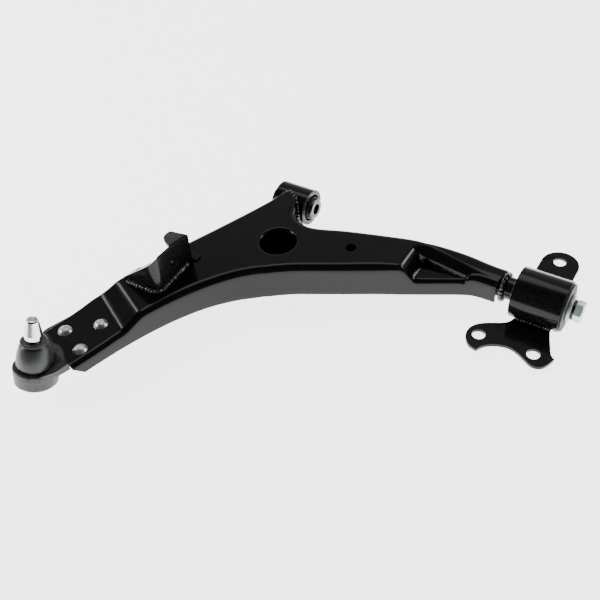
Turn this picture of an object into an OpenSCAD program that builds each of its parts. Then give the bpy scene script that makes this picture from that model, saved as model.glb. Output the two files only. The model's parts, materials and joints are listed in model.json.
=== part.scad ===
// Front suspension lower control arm: a pressed box-section arm with a rubber-bushed front eye, a
// bushed rear shaft carrying its own mounting bracket, a riveted ball joint and a link bracket.
// Frame: origin at the centre of the front bush, +X back along the front bush bore, +Y inboard, +Z up.

/* [Arm layout] */
// Distance from the front bush centre back to the rear bush centre
bush_span = 292; // [243:1:351]
// How far outboard of the front bush the ball joint sits
ball_reach = 324; // [270:1:389]
// How far ahead of the front bush the ball joint sits
ball_ahead = 94.5; // [79:0.5:113]
// How far outboard the rear shaft axis is offset
shaft_offset = 15; // [12:0.5:18]
// How far the rear shaft axis lies below the front bush axis
shaft_drop = 6; // [5:0.5:7]

/* [Pressings] */
// Height of the arm's top face over the front bush axis
top_rise = 20; // [18:0.5:24]
// Thickness of the upper and lower pressings
sheet_t = 2.5; // [2:0.1:3]
// Step down from the top face to the ball joint seat
seat_drop = 9; // [7:0.5:11]
// Step down from the top face to the pocket beside the shaft
pocket_drop = 19; // [16:0.5:20]
// Radius of the large lightening hole
big_hole_r = 18.8; // [15:0.1:22.8]
// Radius of the small tooling hole
small_hole_r = 5.6; // [4.5:0.1:6.8]
// Depth of the rolled lip under the lightening hole
lip_depth = 6; // [5:0.5:8]

/* [Front bush] */
// Outside radius of the front eye tube
eye_r = 20; // [18:0.5:24]
// Wall of the front eye tube
eye_wall = 3; // [2.5:0.1:3.6]
// Length of the front eye tube
eye_len = 40; // [33:1:48]
// Wall of the front bush's outer sleeve
front_sleeve_wall = 1.5; // [1.2:0.1:2]
// Outside radius of the front inner sleeve
front_inner_r = 11.5; // [10:0.1:13]
// Radius of the front mounting bolt hole
front_bore_r = 6.25; // [5.2:0.05:7.5]
// How far the inner sleeve stands out at each end of the eye
front_stand_out = 6; // [4:0.5:8]

/* [Rear bush] */
// Outside radius of the rear bush housing
housing_r = 26; // [24:0.5:30]
// Wall of the rear bush housing
housing_wall = 3.5; // [3:0.1:4.2]
// Length of the rear bush housing
housing_len = 50; // [42:1:60]
// Radius of the rear shaft
shaft_r = 11.5; // [9.6:0.1:13]
// Radius of the shaft's spigot inside the bush
spigot_r = 9; // [7.5:0.1:9.4]
// Outside radius of the rear inner sleeve
rear_inner_r = 13; // [12:0.1:15]
// Length of the rear inner sleeve
rear_inner_len = 56; // [52:1:62]
// Hexagon size of the rear bolt across flats
bolt_af = 19; // [17:0.5:21]
// Height of the rear bolt's head
bolt_head_h = 7.6; // [6.4:0.1:9]

/* [Rear bracket] */
// Thickness of the rear bracket plates
bracket_t = 3.6; // [3:0.1:4.3]
// How far the bracket's top face lies below the shaft axis
bracket_drop = 18; // [16:0.5:20]
// Radius of the three body mounting holes
bracket_hole_r = 6.5; // [5.5:0.1:7.8]
// Distance between the two outboard holes
bracket_pitch = 55.5; // [50:0.5:58]

/* [Ball joint] */
// Radius of the ball
ball_r = 11.5; // [11:0.1:12]
// Thickness of the bearing shell around the ball
liner_t = 1.5; // [1.25:0.05:1.8]
// Outside radius of the ball joint housing
cup_r = 21.5; // [18:0.1:26]
// Inboard lean of the stud
lean_in = 17; // [14:0.5:20]
// Rearward lean of the stud
lean_back = 2; // [0:0.5:4]
// Radius of the stud's parallel band
stud_r = 8.6; // [7.4:0.1:10]
// Height of the stud's tip over the ball centre
stud_len = 58; // [52:0.5:66]
// Thickness of the riveted flange
flange_t = 5; // [4:0.2:6]
// Radius of the rivets' shanks
rivet_r = 4; // [3.4:0.1:4.8]
// Radius of the rivets' heads
rivet_head_r = 7.2; // [6:0.1:8.4]

/* [Link bracket] */
// Thickness of the link bracket's sheet
link_t = 3; // [2.5:0.1:3.6]
// Height of the link bracket over the top face
link_h = 39; // [33:1:46]
// Radius of the link bracket's hole
link_hole_r = 4.25; // [3.5:0.05:5]

/* [Fits] */
// Radial clearance between a rubber bush and the sleeve that turns in it
turn_gap = 0.05; // [0.02:0.01:0.09]
// Radial clearance around the ball and its bearing shell
ball_gap = 0.05; // [0.02:0.01:0.09]

/* [Hidden] */
$fn = 96;
ROUND = 32;      // facets of small rounded corners
CUT = 1;         // how far a cutting shape runs past the face it cuts

// Places that several pieces share
shaft_y = -shaft_offset;
shaft_z = -shaft_drop;
seat_z = top_rise - seat_drop;
pocket_z = top_rise - pocket_drop;
ridge_r = shaft_r + sheet_t;
arm_end_x = bush_span - 40;
ball_x = -ball_ahead;
ball_y = -ball_reach;

// How the arm's outline grows with its layout
grow_rear = arm_end_x / 252;
grow_front = ball_ahead / 94.5;

// The arm's outline in pairs of points from the ball joint end to the rear end:
// [near x, near y, far x, far y, near foot z, far foot z, near bend radius, far bend radius]
STATIONS = [
    [-56, -311, -112, -288, -5, 6.5, 6, 3],
    [-47, -281, -103, -254, -5, 6.5, 6, 3],
    [-40, -255, -99, -227, -7, 0, 6, 4],
    [-31, -228, -90, -207, -9, -9, 7, 6],
    [-19, -200, -78, -173, -11, -11, 8, 8],
    [-3, -172, -61, -131, -13, -13, 8, 8],
    [14, -149, -44, -92, -16, -16, 8, 8],
    [28, -135, -28, -56, -18, -18, 8, 7],
    [37, -128, -16, -29, -18, -18, 8, 5],
    [42, -125, -11, -16, -18, -18, 8, 3],
    [46, -122, -3, -7, -18, -18, 8, 3],
    [50, -119, 8, -13, -18, -18, 8, 3],
    [55, -116, 15, -24, -18, -18, 8, 5],
    [61, -112, 22, -35, -18, -18, 8, 7],
    [70, -107, 33, -42, -18, -18, 8, 8],
    [82, -101, 50, -44, -18, -18, 8, 8],
    [106, -89, 84, -32.5, -18, -18, 8, 8],
    [138, -72.5, 128, -20, -18, -18, 8, 8],
    [166, -59, 160, -12, -18, -18, 6, 8],
    [191, -46.5, 186, -6, -18, -18, 5, 8]
];
LAST = concat(STATIONS, [
    [213, shaft_y - 20.5, 210, shaft_y + ridge_r - 1, -18, -18, 5, 8],
    [228, shaft_y - ridge_r - 1, 230, shaft_y + ridge_r, -18, -18, 7, 9],
    [249, shaft_y - ridge_r, 252, shaft_y + ridge_r, -18, -18, 8, 9]
]);
PATH = [for (s = LAST) grown(s)];
SECTIONS = 66;

function grow_x(x) = x > 0 ? x * grow_rear : x * grow_front;
function grow_y(y) = y < shaft_y - 60 ? (y + 75) * (ball_reach - 75) / (324 - 75) - 75 : y;
function grown(s) = [grow_x(s[0]), grow_y(s[1]), grow_x(s[2]), grow_y(s[3]),
                     s[4], s[5], s[6], max(s[7], sheet_t + 0.6)];

// A smooth curve through a table's rows, with u from 0 at the first row to 1 at the last
function curve(a, b, c, d, t) =
    0.5 * (2 * b + (c - a) * t + (2 * a - 5 * b + 4 * c - d) * t * t + (3 * b - a - 3 * c + d) * t * t * t);
function along(table, u) =
    let (n = len(table) - 1, i = min(floor(u * n), n - 1), t = u * n - i)
    curve(table[max(i - 1, 0)], table[i], table[i + 1], table[min(i + 2, n)], t);
function ease(t) = let (c = min(max(t, 0), 1)) c * c * (3 - 2 * c);
function unit(v) = v / norm(v);
function near_at(s) = [s[0], s[1]];
function far_at(s) = [s[2], s[3]];

// Unit directions from each edge towards the middle of the arm
function near_in(u) =
    let (d = unit(near_at(along(PATH, min(u + 0.004, 1))) - near_at(along(PATH, max(u - 0.004, 0)))))
    [-d[1], d[0]];
function far_in(u) =
    let (d = unit(far_at(along(PATH, min(u + 0.004, 1))) - far_at(along(PATH, max(u - 0.004, 0)))))
    [d[1], -d[0]];

// Height of the top face: flat, stepped down at the ball joint seat, falling to a half-round
// ridge over the shaft, with a flat pocket beside the ridge
function seat_share(p) = 1 - ease(((p[0] - ball_x) * 0.464 + (p[1] - ball_y) * 0.886 - 84) / 30);
function ridge_share(p) =
    let (t = min(max((shaft_y - p[1]) / (ridge_r - 1), 0), 1)) sqrt(1 - t * t);
function raised_share(p) =
    1 - (1 - ease((bush_span - 119 - p[0]) / 16)) * (1 - ridge_share(p));
function crest_z(x) =
    top_rise - (top_rise - (shaft_z + ridge_r)) * ease((x - (bush_span - 145)) / 100);
function top_z(p) =
    pocket_z + (crest_z(p[0]) - pocket_z) * raised_share(p) - seat_drop * seat_share(p);

// One skin of the upper pressing at u: foot, wall, bend, top, bend, wall, foot. The inner skin is the
// same path moved in by the sheet's thickness.
BEND = [30, 60, 90];
ACROSS = [0.2, 0.4, 0.55, 0.7, 0.85];
function wall_run(e, inward, foot_z, r, t, head_z) = concat(
    [[e[0] + inward[0] * t, e[1] + inward[1] * t, foot_z],
     [e[0] + inward[0] * t, e[1] + inward[1] * t, head_z - r]],
    [for (a = BEND) let (d = r - (r - t) * cos(a))
        [e[0] + inward[0] * d, e[1] + inward[1] * d, head_z - r + (r - t) * sin(a)]]);
function skin(u, t) =
    let (s = along(PATH, u), n = near_at(s), f = far_at(s), ni = near_in(u), fi = far_in(u),
         a = n + ni * s[6], b = f + fi * s[7])
    concat(
        wall_run(n, ni, s[4], s[6], t, top_z(a)),
        [for (w = ACROSS) let (p = a + (b - a) * w) [p[0], p[1], top_z(p) - t]],
        [for (q = [len(BEND) + 1 : -1 : 0]) wall_run(f, fi, s[5], s[7], t, top_z(b))[q]]);

// Closed rings lofted along the arm into one solid
function ring_faces(rows, n) = concat(
    [for (i = [0 : rows - 2]) for (j = [0 : n - 1]) let (k = (j + 1) % n, a = i * n, b = a + n)
        each [[a + j, b + j, b + k], [a + j, b + k, a + k]]]);
module loft(rings) {
    n = len(rings[0]);
    rows = len(rings);
    polyhedron(
        points = [for (r = rings) each r],
        faces = concat(ring_faces(rows, n), end_faces(n, 0, false), end_faces(n, (rows - 1) * n, true)));
}
// The end of a ring that runs out along one skin and back along the other
function end_faces(n, base, turned) =
    [for (j = [0 : n / 2 - 2]) let (a = base + j, b = base + j + 1, c = base + n - 2 - j, d = base + n - 1 - j)
        each turned ? [[a, d, c], [a, c, b]] : [[a, b, c], [a, c, d]]];
function back(list) = [for (i = [len(list) - 1 : -1 : 0]) list[i]];

// Places of the ball joint, with the stud's axis up from the ball's centre
module at_ball() { translate([ball_x, ball_y, 0]) rotate([-lean_in, lean_back, 0]) children(); }
liner_r = ball_r + ball_gap + liner_t;
socket_r = liner_r + ball_gap;
cup_top = 6;
cup_foot = -(ball_r + 2.2);
lip_s = stud_len - 23;
neck_r = stud_r * 0.65;
flange_top = seat_z - sheet_t;
FLANGE_TURN = 21;
RIVETS = [for (p = [[-16, 42.5], [16, 42.5], [0, 73.5]])
    [ball_x + p[0] * cos(FLANGE_TURN) + p[1] * sin(FLANGE_TURN),
     ball_y - p[0] * sin(FLANGE_TURN) + p[1] * cos(FLANGE_TURN)]];

// Places of the holes in the top face
big_hole = [grow_x(29.5), grow_y(-82)];
small_hole = [grow_x(102.5), grow_y(-57.5)];

// Places of the link bracket: its two legs meet in a rounded bend
link_x = grow_x(-36);
link_y = grow_y(-201);
link_top = top_rise + link_h;
leg_c_end = link_y + 55;
leg_a_end = link_x - 43;
link_hole = [link_y + 28, top_rise + 0.48 * link_h];

// Places of the rear bracket
bracket_top = shaft_z - bracket_drop;
hole_y = shaft_y - 55;
hole_x = bush_span - 41.5;
tab_hole = [bush_span - 7, shaft_y + 77.5];
washer_x = bush_span + rear_inner_len / 2;

module along_x(x0, x1, y = 0, z = 0) {
    translate([x0, y, z]) rotate([0, 90, 0]) linear_extrude(x1 - x0) children();
}
module tube_x(x0, x1, r, bore, y = 0, z = 0) {
    along_x(x0, x1, y, z) difference() {
        circle(r);
        circle(bore);
    }
}
module turned_x(x, y, z, profile) {
    translate([x, y, z]) rotate([0, 90, 0]) rotate_extrude() polygon(profile);
}
module turned(profile) { rotate_extrude() polygon(profile); }
module drill(p, r) { translate([p[0], p[1], -60]) cylinder(r = r, h = 120); }
module at_rivets() { for (p = RIVETS) translate([p[0], p[1], 0]) children(); }

module upper_shell() {
    color([0.06, 0.06, 0.055])
    difference() {
        union() {
            loft([for (i = [0 : SECTIONS]) let (u = i / SECTIONS) concat(skin(u, sheet_t), back(skin(u, 0)))]);
            translate([big_hole[0], big_hole[1], top_rise - lip_depth])
                cylinder(r = big_hole_r + 2, h = lip_depth - sheet_t / 2);
        }
        drill(big_hole, big_hole_r);
        drill(small_hole, small_hole_r);
        at_rivets() cylinder(r = rivet_r, h = 30);
        along_x(-eye_len, eye_len) circle(eye_r);
        along_x(bush_span - 75, bush_span, shaft_y, shaft_z) circle(shaft_r);
        eye_beads();
        drill([ball_x, ball_y], cup_r + 8.5);
        flange();
        near_end_slant();
    }
}

// The near wall's end leans back, so its foot starts further inboard than its head
module near_end_slant() {
    translate([PATH[0][0], PATH[0][1], seat_z - 4]) rotate([0, 0, -25.5]) rotate([40, 0, 0])
        translate([-10, -25, -50]) cube([40, 25, 50]);
}

// The lower pressing: a tray whose flanges stand inside the upper pressing's walls
module lower_shell() {
    color([0.05, 0.05, 0.05])
    difference() {
        loft([for (i = [round(SECTIONS * 0.2) : round(SECTIONS * 0.9)]) tray(i / SECTIONS)]);
        along_x(-eye_len, eye_len) circle(eye_r);
        eye_beads();
    }
}
function at3(p, d, r, z) = [p[0] + d[0] * r, p[1] + d[1] * r, z];
function tray(u) =
    let (s = along(PATH, u), n = near_at(s), f = far_at(s), ni = near_in(u), fi = far_in(u),
         g = sheet_t, k = 2 * sheet_t, z = max(s[4], s[5]) + 0.5, up = 9)
    [at3(n, ni, g, z + up), at3(n, ni, g, z), at3(f, fi, g, z), at3(f, fi, g, z + up),
     at3(f, fi, k, z + up), at3(f, fi, k, z + sheet_t), at3(n, ni, k, z + sheet_t), at3(n, ni, k, z + up)];

module front_eye_tube() {
    color([0.07, 0.07, 0.06]) tube_x(-eye_len / 2, eye_len / 2, eye_r, eye_r - eye_wall);
}

// Weld beads down both sides of the arm's nose, where it meets the eye tube
module eye_beads() {
    for (x = [-13.5, 13.5])
        translate([x, 0, 0]) rotate([0, 90, 0]) rotate([0, 0, 195])
            rotate_extrude(angle = 125) translate([eye_r, 0]) circle(r = 2.6, $fn = 24);
}
module front_eye_weld() {
    color([0.1, 0.1, 0.1])
    difference() {
        eye_beads();
        along_x(-eye_len, eye_len) circle(eye_r);
    }
}

sleeve_r = eye_r - eye_wall;
rubber_r = sleeve_r - front_sleeve_wall;
front_half = eye_len / 2 + front_stand_out;
module front_bush_outer_sleeve() {
    color([0.12, 0.12, 0.12]) tube_x(-eye_len / 2, eye_len / 2, sleeve_r, rubber_r);
}
module front_bush_rubber() {
    turn_r = front_inner_r + turn_gap;
    web = rubber_r - turn_r;
    e = eye_len / 2;
    color([0.05, 0.05, 0.05])
    turned_x(0, 0, 0, [
        [turn_r, -e - 2], [turn_r + web * 0.3, -e - 2], [turn_r + web * 0.55, -e + 7],
        [turn_r + web * 0.7, -e + 7], [rubber_r, -e + 1], [rubber_r, e - 1],
        [turn_r + web * 0.7, e - 7], [turn_r + web * 0.55, e - 7], [turn_r + web * 0.3, e + 2],
        [turn_r, e + 2]]);
}
module front_bush_inner_sleeve() {
    color([0.62, 0.62, 0.6])
    turned_x(0, 0, 0, [
        [front_bore_r, -front_half], [front_inner_r - 1, -front_half],
        [front_inner_r, -front_half + 1], [front_inner_r, front_half - 1],
        [front_inner_r - 1, front_half], [front_bore_r, front_half]]);
}

module rear_shaft() {
    s0 = bush_span - rear_inner_len / 2;
    color([0.06, 0.06, 0.06])
    difference() {
        union() {
            along_x(bush_span - 75, s0, shaft_y, shaft_z) circle(shaft_r);
            along_x(s0 - 1, washer_x, shaft_y, shaft_z) circle(spigot_r);
        }
        along_x(washer_x - 30, washer_x + 1, shaft_y, shaft_z) circle(bolt_r);
    }
}
bolt_r = bolt_af * 6 / 19;
module shaft_weld() {
    e = arm_end_x;
    color([0.1, 0.1, 0.1])
    turned_x(e, shaft_y, shaft_z, [
        [shaft_r, 0], [ridge_r, 0], [ridge_r + 0.6, 1.4], [ridge_r - 0.2, 3.4],
        [shaft_r + 1, 5.2], [shaft_r, 5.8]]);
}

h0 = bush_span - housing_len / 2;
h1 = bush_span + housing_len / 2;
module rear_bush_housing() {
    color([0.08, 0.08, 0.08]) tube_x(h0, h1, housing_r, housing_r - housing_wall, shaft_y, shaft_z);
}
rear_sleeve_r = housing_r - housing_wall;
rear_rubber_r = rear_sleeve_r - 1.5;
module rear_bush_outer_sleeve() {
    color([0.12, 0.12, 0.12])
    tube_x(h0, h1, rear_sleeve_r, rear_rubber_r, shaft_y, shaft_z);
}
module rear_bush_rubber() {
    turn_r = rear_inner_r + turn_gap;
    web = rear_rubber_r - turn_r;
    e = housing_len / 2;
    color([0.05, 0.05, 0.05])
    turned_x(bush_span, shaft_y, shaft_z, [
        [turn_r, -e - 2], [turn_r + web * 0.3, -e - 2], [turn_r + web * 0.45, -e + 4],
        [turn_r + web * 0.65, -e + 4], [rear_rubber_r, -e], [rear_rubber_r, e],
        [housing_r - 2, e], [housing_r - 2, e + 1.6], [turn_r, e + 2.4]]);
}
module rear_bush_inner_sleeve() {
    color([0.5, 0.5, 0.5])
    tube_x(bush_span - rear_inner_len / 2, washer_x, rear_inner_r, spigot_r, shaft_y, shaft_z);
}
module rear_end_washer() {
    color([0.62, 0.68, 0.66])
    tube_x(washer_x, washer_x + 2.6, bolt_af * 0.74, bolt_r, shaft_y, shaft_z);
}
module rear_spring_washer() {
    color([0.1, 0.1, 0.1])
    tube_x(washer_x + 2.6, washer_x + 5.6, bolt_af * 0.53, bolt_r, shaft_y, shaft_z);
}
module rear_bolt() {
    head_x = washer_x + 5.6;
    color([0.68, 0.76, 0.74])
    union() {
        along_x(washer_x - 28, head_x + 1, shaft_y, shaft_z) circle(bolt_r);
        translate([head_x, shaft_y, shaft_z]) rotate([0, 90, 0]) rotate([0, 0, 12])
            intersection() {
                cylinder(r = bolt_af / 2 / cos(30), h = bolt_head_h, $fn = 6);
                turned([[0, 0], [bolt_af * 0.57, 0], [bolt_af * 0.6, 0.6],
                    [bolt_af * 0.6, bolt_head_h - 1.3], [bolt_af * 0.48, bolt_head_h], [0, bolt_head_h]]);
            }
    }
}

// The rear bracket's outboard plate, from the rear bush's centre: a smooth edge round the left ear,
// a scooped front edge and a straight edge back to the housing
PLATE_EAR = [[-18, -8], [-20, -22], [-25, -29], [-35, -34.5], [-44, -39.5], [-51, -46.5],
    [-53.5, -55], [-51.5, -64], [-45, -71.5], [-36, -74]];
PLATE_FRONT = [[-36, -74], [-32.5, -67], [-25, -61], [-17, -58], [-9, -57], [0, -60], [9, -65],
    [15, -68.3], [21, -69], [27, -66], [31, -59.5], [33.5, -52]];
PLATE_BACK = [[33.5, -52], [29, -48.5], [24, -37], [18, -21], [17, -8]];
function smooth(table, n) = [for (i = [0 : n - 1]) along(table, i / n)];
module plate_outline() {
    k = bracket_pitch / 55.5;
    translate([bush_span, shaft_y])
        polygon([for (p = concat(smooth(PLATE_EAR, 24), smooth(PLATE_FRONT, 30), smooth(PLATE_BACK, 8)))
            [p[0] * k, p[1]]]);
}
module rear_bracket_plate() {
    color([0.06, 0.06, 0.06])
    difference() {
        translate([0, 0, bracket_top - bracket_t]) linear_extrude(bracket_t) plate_outline();
        along_x(h0 - 30, h1 + 30, shaft_y, shaft_z) circle(housing_r);
        for (x = [0, bracket_pitch]) drill([bush_span + (x - 41.5), hole_y], bracket_hole_r);
    }
}
module rear_bracket_tab() {
    ear = bush_span - 5.5;
    color([0.06, 0.06, 0.06])
    difference() {
        translate([0, 0, bracket_top - bracket_t]) linear_extrude(bracket_t) {
            translate([ear, shaft_y + 73.5]) circle(19.5);
            translate([ear - 19.5, shaft_y + 8]) square([39, 65.5]);
        }
        along_x(h0 - 30, h1 + 30, shaft_y, shaft_z) circle(housing_r);
        drill(tab_hole, bracket_hole_r);
    }
}
module rear_bracket_welds() {
    reach = sqrt(housing_r * housing_r - bracket_drop * bracket_drop);
    color([0.1, 0.1, 0.1])
    for (side = [-1, 1])
        difference() {
            along_x(bush_span - 19, bush_span + (side < 0 ? 17 : 13), shaft_y + side * (reach + 0.5), bracket_top)
                circle(r = 3, $fn = 24);
            along_x(h0 - 30, h1 + 30, shaft_y, shaft_z) circle(housing_r);
            translate([h0 - 30, shaft_y - 60, bracket_top - 20]) cube([120, 120, 20]);
        }
}

// The ball joint's flange, across and along from the ball: narrow beside the cup, wide at the rivets
FLANGE = [[-20, -4], [-24, 12], [-33, 27], [-34, 31], [-33.5, 66], [-27, 78], [-14, 86], [0, 89],
    [12, 86], [20, 78], [22, 60], [22, 30], [24, 12], [20, -4]];
module flange() {
    translate([ball_x, ball_y, flange_top - flange_t]) rotate([0, 0, -FLANGE_TURN])
        linear_extrude(flange_t) polygon(FLANGE);
}
module ball_joint_housing() {
    color([0.2, 0.21, 0.2])
    difference() {
        union() {
            at_ball() turned([[0, cup_foot], [cup_r - 3.5, cup_foot], [cup_r - 0.5, cup_foot + 3],
                [cup_r - 0.5, cup_top - 8], [cup_r, cup_top - 7.5], [cup_r, cup_top - 0.8],
                [cup_r - 0.8, cup_top], [0, cup_top]]);
            flange();
            translate([ball_x, ball_y, flange_top - flange_t - 9]) rotate([0, 0, -FLANGE_TURN])
                translate([-17, 6]) cube([34, 21, 10]);
        }
        at_ball() sphere(socket_r);
        at_ball() translate([0, 0, -40]) cylinder(r = ball_r, h = 40);
        at_ball() translate([0, 0, cup_foot - 1]) cylinder(r = ball_r + 1.5, h = 3.01);
        at_ball() translate([0, 0, cup_top]) cylinder(r = boot_foot_r + 1.2, h = 30);
        at_rivets() cylinder(r = rivet_r, h = 30);
    }
}
module ball_joint_cap() {
    color([0.3, 0.3, 0.3])
    at_ball() translate([0, 0, cup_foot - 0.2]) cylinder(r = ball_r + 1.5, h = 2.2);
}
module ball_bearing_shell() {
    color([0.85, 0.84, 0.78])
    at_ball() difference() {
        sphere(liner_r);
        sphere(ball_r + ball_gap);
        translate([0, 0, 4]) cylinder(r = 30, h = 30);
        translate([0, 0, -37.5]) cylinder(r = 30, h = 30);
    }
}
module ball_stud() {
    flat = ball_r * 0.87;
    color([0.75, 0.75, 0.73])
    at_ball() union() {
        difference() {
            sphere(ball_r);
            translate([0, 0, -flat - 20]) cylinder(r = 20, h = 20);
        }
        turned([[0, 2], [neck_r, 2], [neck_r, lip_s + 1.5], [stud_r - 0.8, lip_s + 2.2],
            [stud_r, lip_s + 3.2], [stud_r, lip_s + 7.5], [stud_r * 0.7, stud_len - 1.5],
            [stud_r * 0.58, stud_len], [stud_r * 0.3, stud_len - 0.6], [0, stud_len - 0.6]]);
    }
}

// The boot: a thick bell from the seat on the cup to the lip around the stud's neck
boot_foot_r = cup_r * 0.8;
boot_lip_r = stud_r * 1.48;
BOOT_OUT = [[0, 1], [0.1, 1.02], [0.25, 0.98], [0.45, 0.9], [0.65, 0.79], [0.82, 0.7], [0.9, 0.68]];
function boot_at(p, t) = [boot_foot_r * p[1] - t, cup_top + 3 + (lip_s - cup_top - 3) * p[0]];
module dust_boot() {
    color([0.1, 0.11, 0.11])
    at_ball() turned(concat(
        [[boot_foot_r - 3, cup_top], [boot_foot_r, cup_top], [boot_foot_r, cup_top + 0.6],
         [boot_foot_r - 1.4, cup_top + 0.9], [boot_foot_r - 1.4, cup_top + 2.4]],
        [for (p = BOOT_OUT) boot_at(p, 0)],
        [[boot_lip_r, lip_s - 1.4], [boot_lip_r, lip_s - 0.4], [boot_lip_r - 0.6, lip_s],
         [neck_r + 2, lip_s], [neck_r + 2, lip_s - 4]],
        [for (p = back(BOOT_OUT)) boot_at(p, 3)]));
}
module boot_lower_ring() {
    color([0.08, 0.08, 0.08])
    at_ball() turned([[boot_foot_r - 1.4, cup_top + 0.9], [boot_foot_r + 0.4, cup_top + 0.9],
        [boot_foot_r + 0.4, cup_top + 2.3], [boot_foot_r - 1.4, cup_top + 2.3]]);
}
module boot_upper_ring() {
    color([0.2, 0.2, 0.2])
    at_ball() turned([[neck_r + turn_gap, lip_s - 4], [neck_r + 2, lip_s - 4], [neck_r + 2, lip_s - 0.5],
        [neck_r + turn_gap, lip_s - 0.5]]);
}
module rivets() {
    rise = rivet_head_r * 0.55;
    dome = (rivet_head_r * rivet_head_r + rise * rise) / (2 * rise);
    color([0.66, 0.66, 0.64])
    at_rivets() {
        union() {
            translate([0, 0, flange_top - flange_t - 1]) cylinder(r = rivet_r, h = flange_t + sheet_t + 2);
            translate([0, 0, seat_z]) intersection() {
                cylinder(r = rivet_head_r, h = rise);
                translate([0, 0, rise - dome]) sphere(dome);
            }
            translate([0, 0, flange_top - flange_t - 3]) cylinder(r = rivet_head_r - 0.6, h = 3);
        }
    }
}

module leg_c(x0, w) {
    translate([x0, 0, 0]) rotate([90, 0, 90]) linear_extrude(w)
        polygon([[link_y + 8, top_rise], [leg_c_end, top_rise], [leg_c_end + 1.5, link_top - 6.5],
            [leg_c_end - 26, link_top - 1.5], [link_y + 8, link_top]]);
}
module leg_a(y0, w) {
    translate([0, y0 + w, 0]) rotate([90, 0, 0]) linear_extrude(w)
        polygon([[link_x - 8, top_rise], [link_x - 8, link_top], [link_x - 20, link_top],
            [link_x - 20, top_rise + 0.58 * link_h], [link_x - 36, top_rise + 0.37 * link_h],
            [link_x - 41, top_rise + 0.24 * link_h], [leg_a_end, top_rise + 0.12 * link_h],
            [leg_a_end, top_rise]]);
}
// A lug with one rounded end, bent off an edge at the origin towards -X
module lug(long, wide, round_r, t) {
    linear_extrude(t) {
        translate([-long + round_r, 0]) square([long - round_r, wide]);
        translate([-long, round_r]) square([round_r, wide - 2 * round_r]);
        for (y = [round_r, wide - round_r]) translate([-long + round_r, y]) circle(round_r);
    }
}
// The top tab's outline, from where it leaves the edge: straight at the back, rounded away in front
TAB = [[0, -1], [-8, -1], [-16, -0.5], [-20.5, -0.3], [-22.3, -1.8], [-22.4, -5], [-21.4, -9.5],
    [-18.5, -14.5], [-13.5, -19], [-7, -23.3], [0, -26.4]];
module link_bracket() {
    t = link_t;
    fall = atan(0.8);
    color([0.06, 0.06, 0.06])
    difference() {
        union() {
            leg_c(link_x - t / 2, t);
            leg_a(link_y - t / 2, t);
            translate([link_x - 8, link_y + 8, top_rise]) rotate([0, 0, -90])
                rotate_extrude(angle = 90) translate([8 - t / 2, 0]) square([t, link_h]);
            translate([link_x + t / 2 - 0.6, leg_c_end + 0.5, link_top - 7.6]) rotate([-10.5, -12, 0])
                linear_extrude(t) polygon(smooth(TAB, 40));
            translate([link_x - 18, link_y - t / 2 + 0.3, top_rise + 0.58 * link_h - 1]) rotate([0, -27, 0])
                translate([0, 0, -t * 0.6]) lug(25, 8.5, 3.5, t * 0.8);
            translate([link_x - 5, leg_c_end - 0.4, top_rise]) cube([12, 8, 2.2]);
        }
        translate([link_x, link_y - 10, link_top]) rotate([0, -fall, 0]) translate([-60, 0, 0]) cube([60, 21, 40]);
        translate([link_x - 20, link_hole[0], link_hole[1]]) rotate([0, 90, 0]) cylinder(r = link_hole_r, h = 40);
    }
}
module link_bracket_nut() {
    color([0.35, 0.35, 0.34])
    translate([link_x - link_t / 2 - 6.5, link_hole[0], link_hole[1]]) rotate([0, 90, 0])
        difference() {
            cylinder(r = link_hole_r * 1.75, h = 6.5, $fn = 6);
            translate([0, 0, -1]) cylinder(r = link_hole_r, h = 9);
        }
}
module link_bracket_weld() {
    o = link_t / 2;
    color([0.14, 0.14, 0.14])
    difference() {
        union() {
            translate([link_x + o, link_y + 8, top_rise]) rotate([-90, 0, 0]) cylinder(r = 3, h = 42, $fn = 24);
            translate([leg_a_end + 2, link_y - o, top_rise]) rotate([0, 90, 0]) cylinder(r = 3, h = 33, $fn = 24);
            translate([link_x - 8, link_y + 8, top_rise]) rotate([0, 0, -90])
                rotate_extrude(angle = 90) translate([8 + o, 0]) circle(r = 3, $fn = 24);
        }
        translate([link_x - 60, link_y - 20, top_rise - 10]) cube([90, 90, 10]);
        leg_c(link_x - 20, 20 + o);
        translate([link_x - 60, link_y - o, 0]) cube([52.5, 20, 60]);
        translate([link_x - 8, link_y + 8, 0]) cylinder(r = 8 + o, h = 60);
        translate([link_x - 20, link_y + 8, 0]) cube([20 + o, 60, 60]);
    }
}

upper_shell();
lower_shell();
front_eye_tube();
front_eye_weld();
front_bush_outer_sleeve();
front_bush_rubber();
front_bush_inner_sleeve();
rear_shaft();
shaft_weld();
rear_bush_housing();
rear_bush_outer_sleeve();
rear_bush_rubber();
rear_bush_inner_sleeve();
rear_end_washer();
rear_spring_washer();
rear_bolt();
rear_bracket_plate();
rear_bracket_tab();
rear_bracket_welds();
ball_joint_housing();
ball_joint_cap();
ball_bearing_shell();
ball_stud();
dust_boot();
boot_lower_ring();
boot_upper_ring();
rivets();
link_bracket();
link_bracket_nut();
link_bracket_weld();
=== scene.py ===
"""Looks of a suspension control arm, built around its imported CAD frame. Metres, +X back along the
front bush, +Y inboard, +Z up. Each piece is a surface worked out on a grid of two parameters."""

import json
import math

import bmesh
import bpy
import numpy as np
from mathutils import Matrix, Vector

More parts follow.
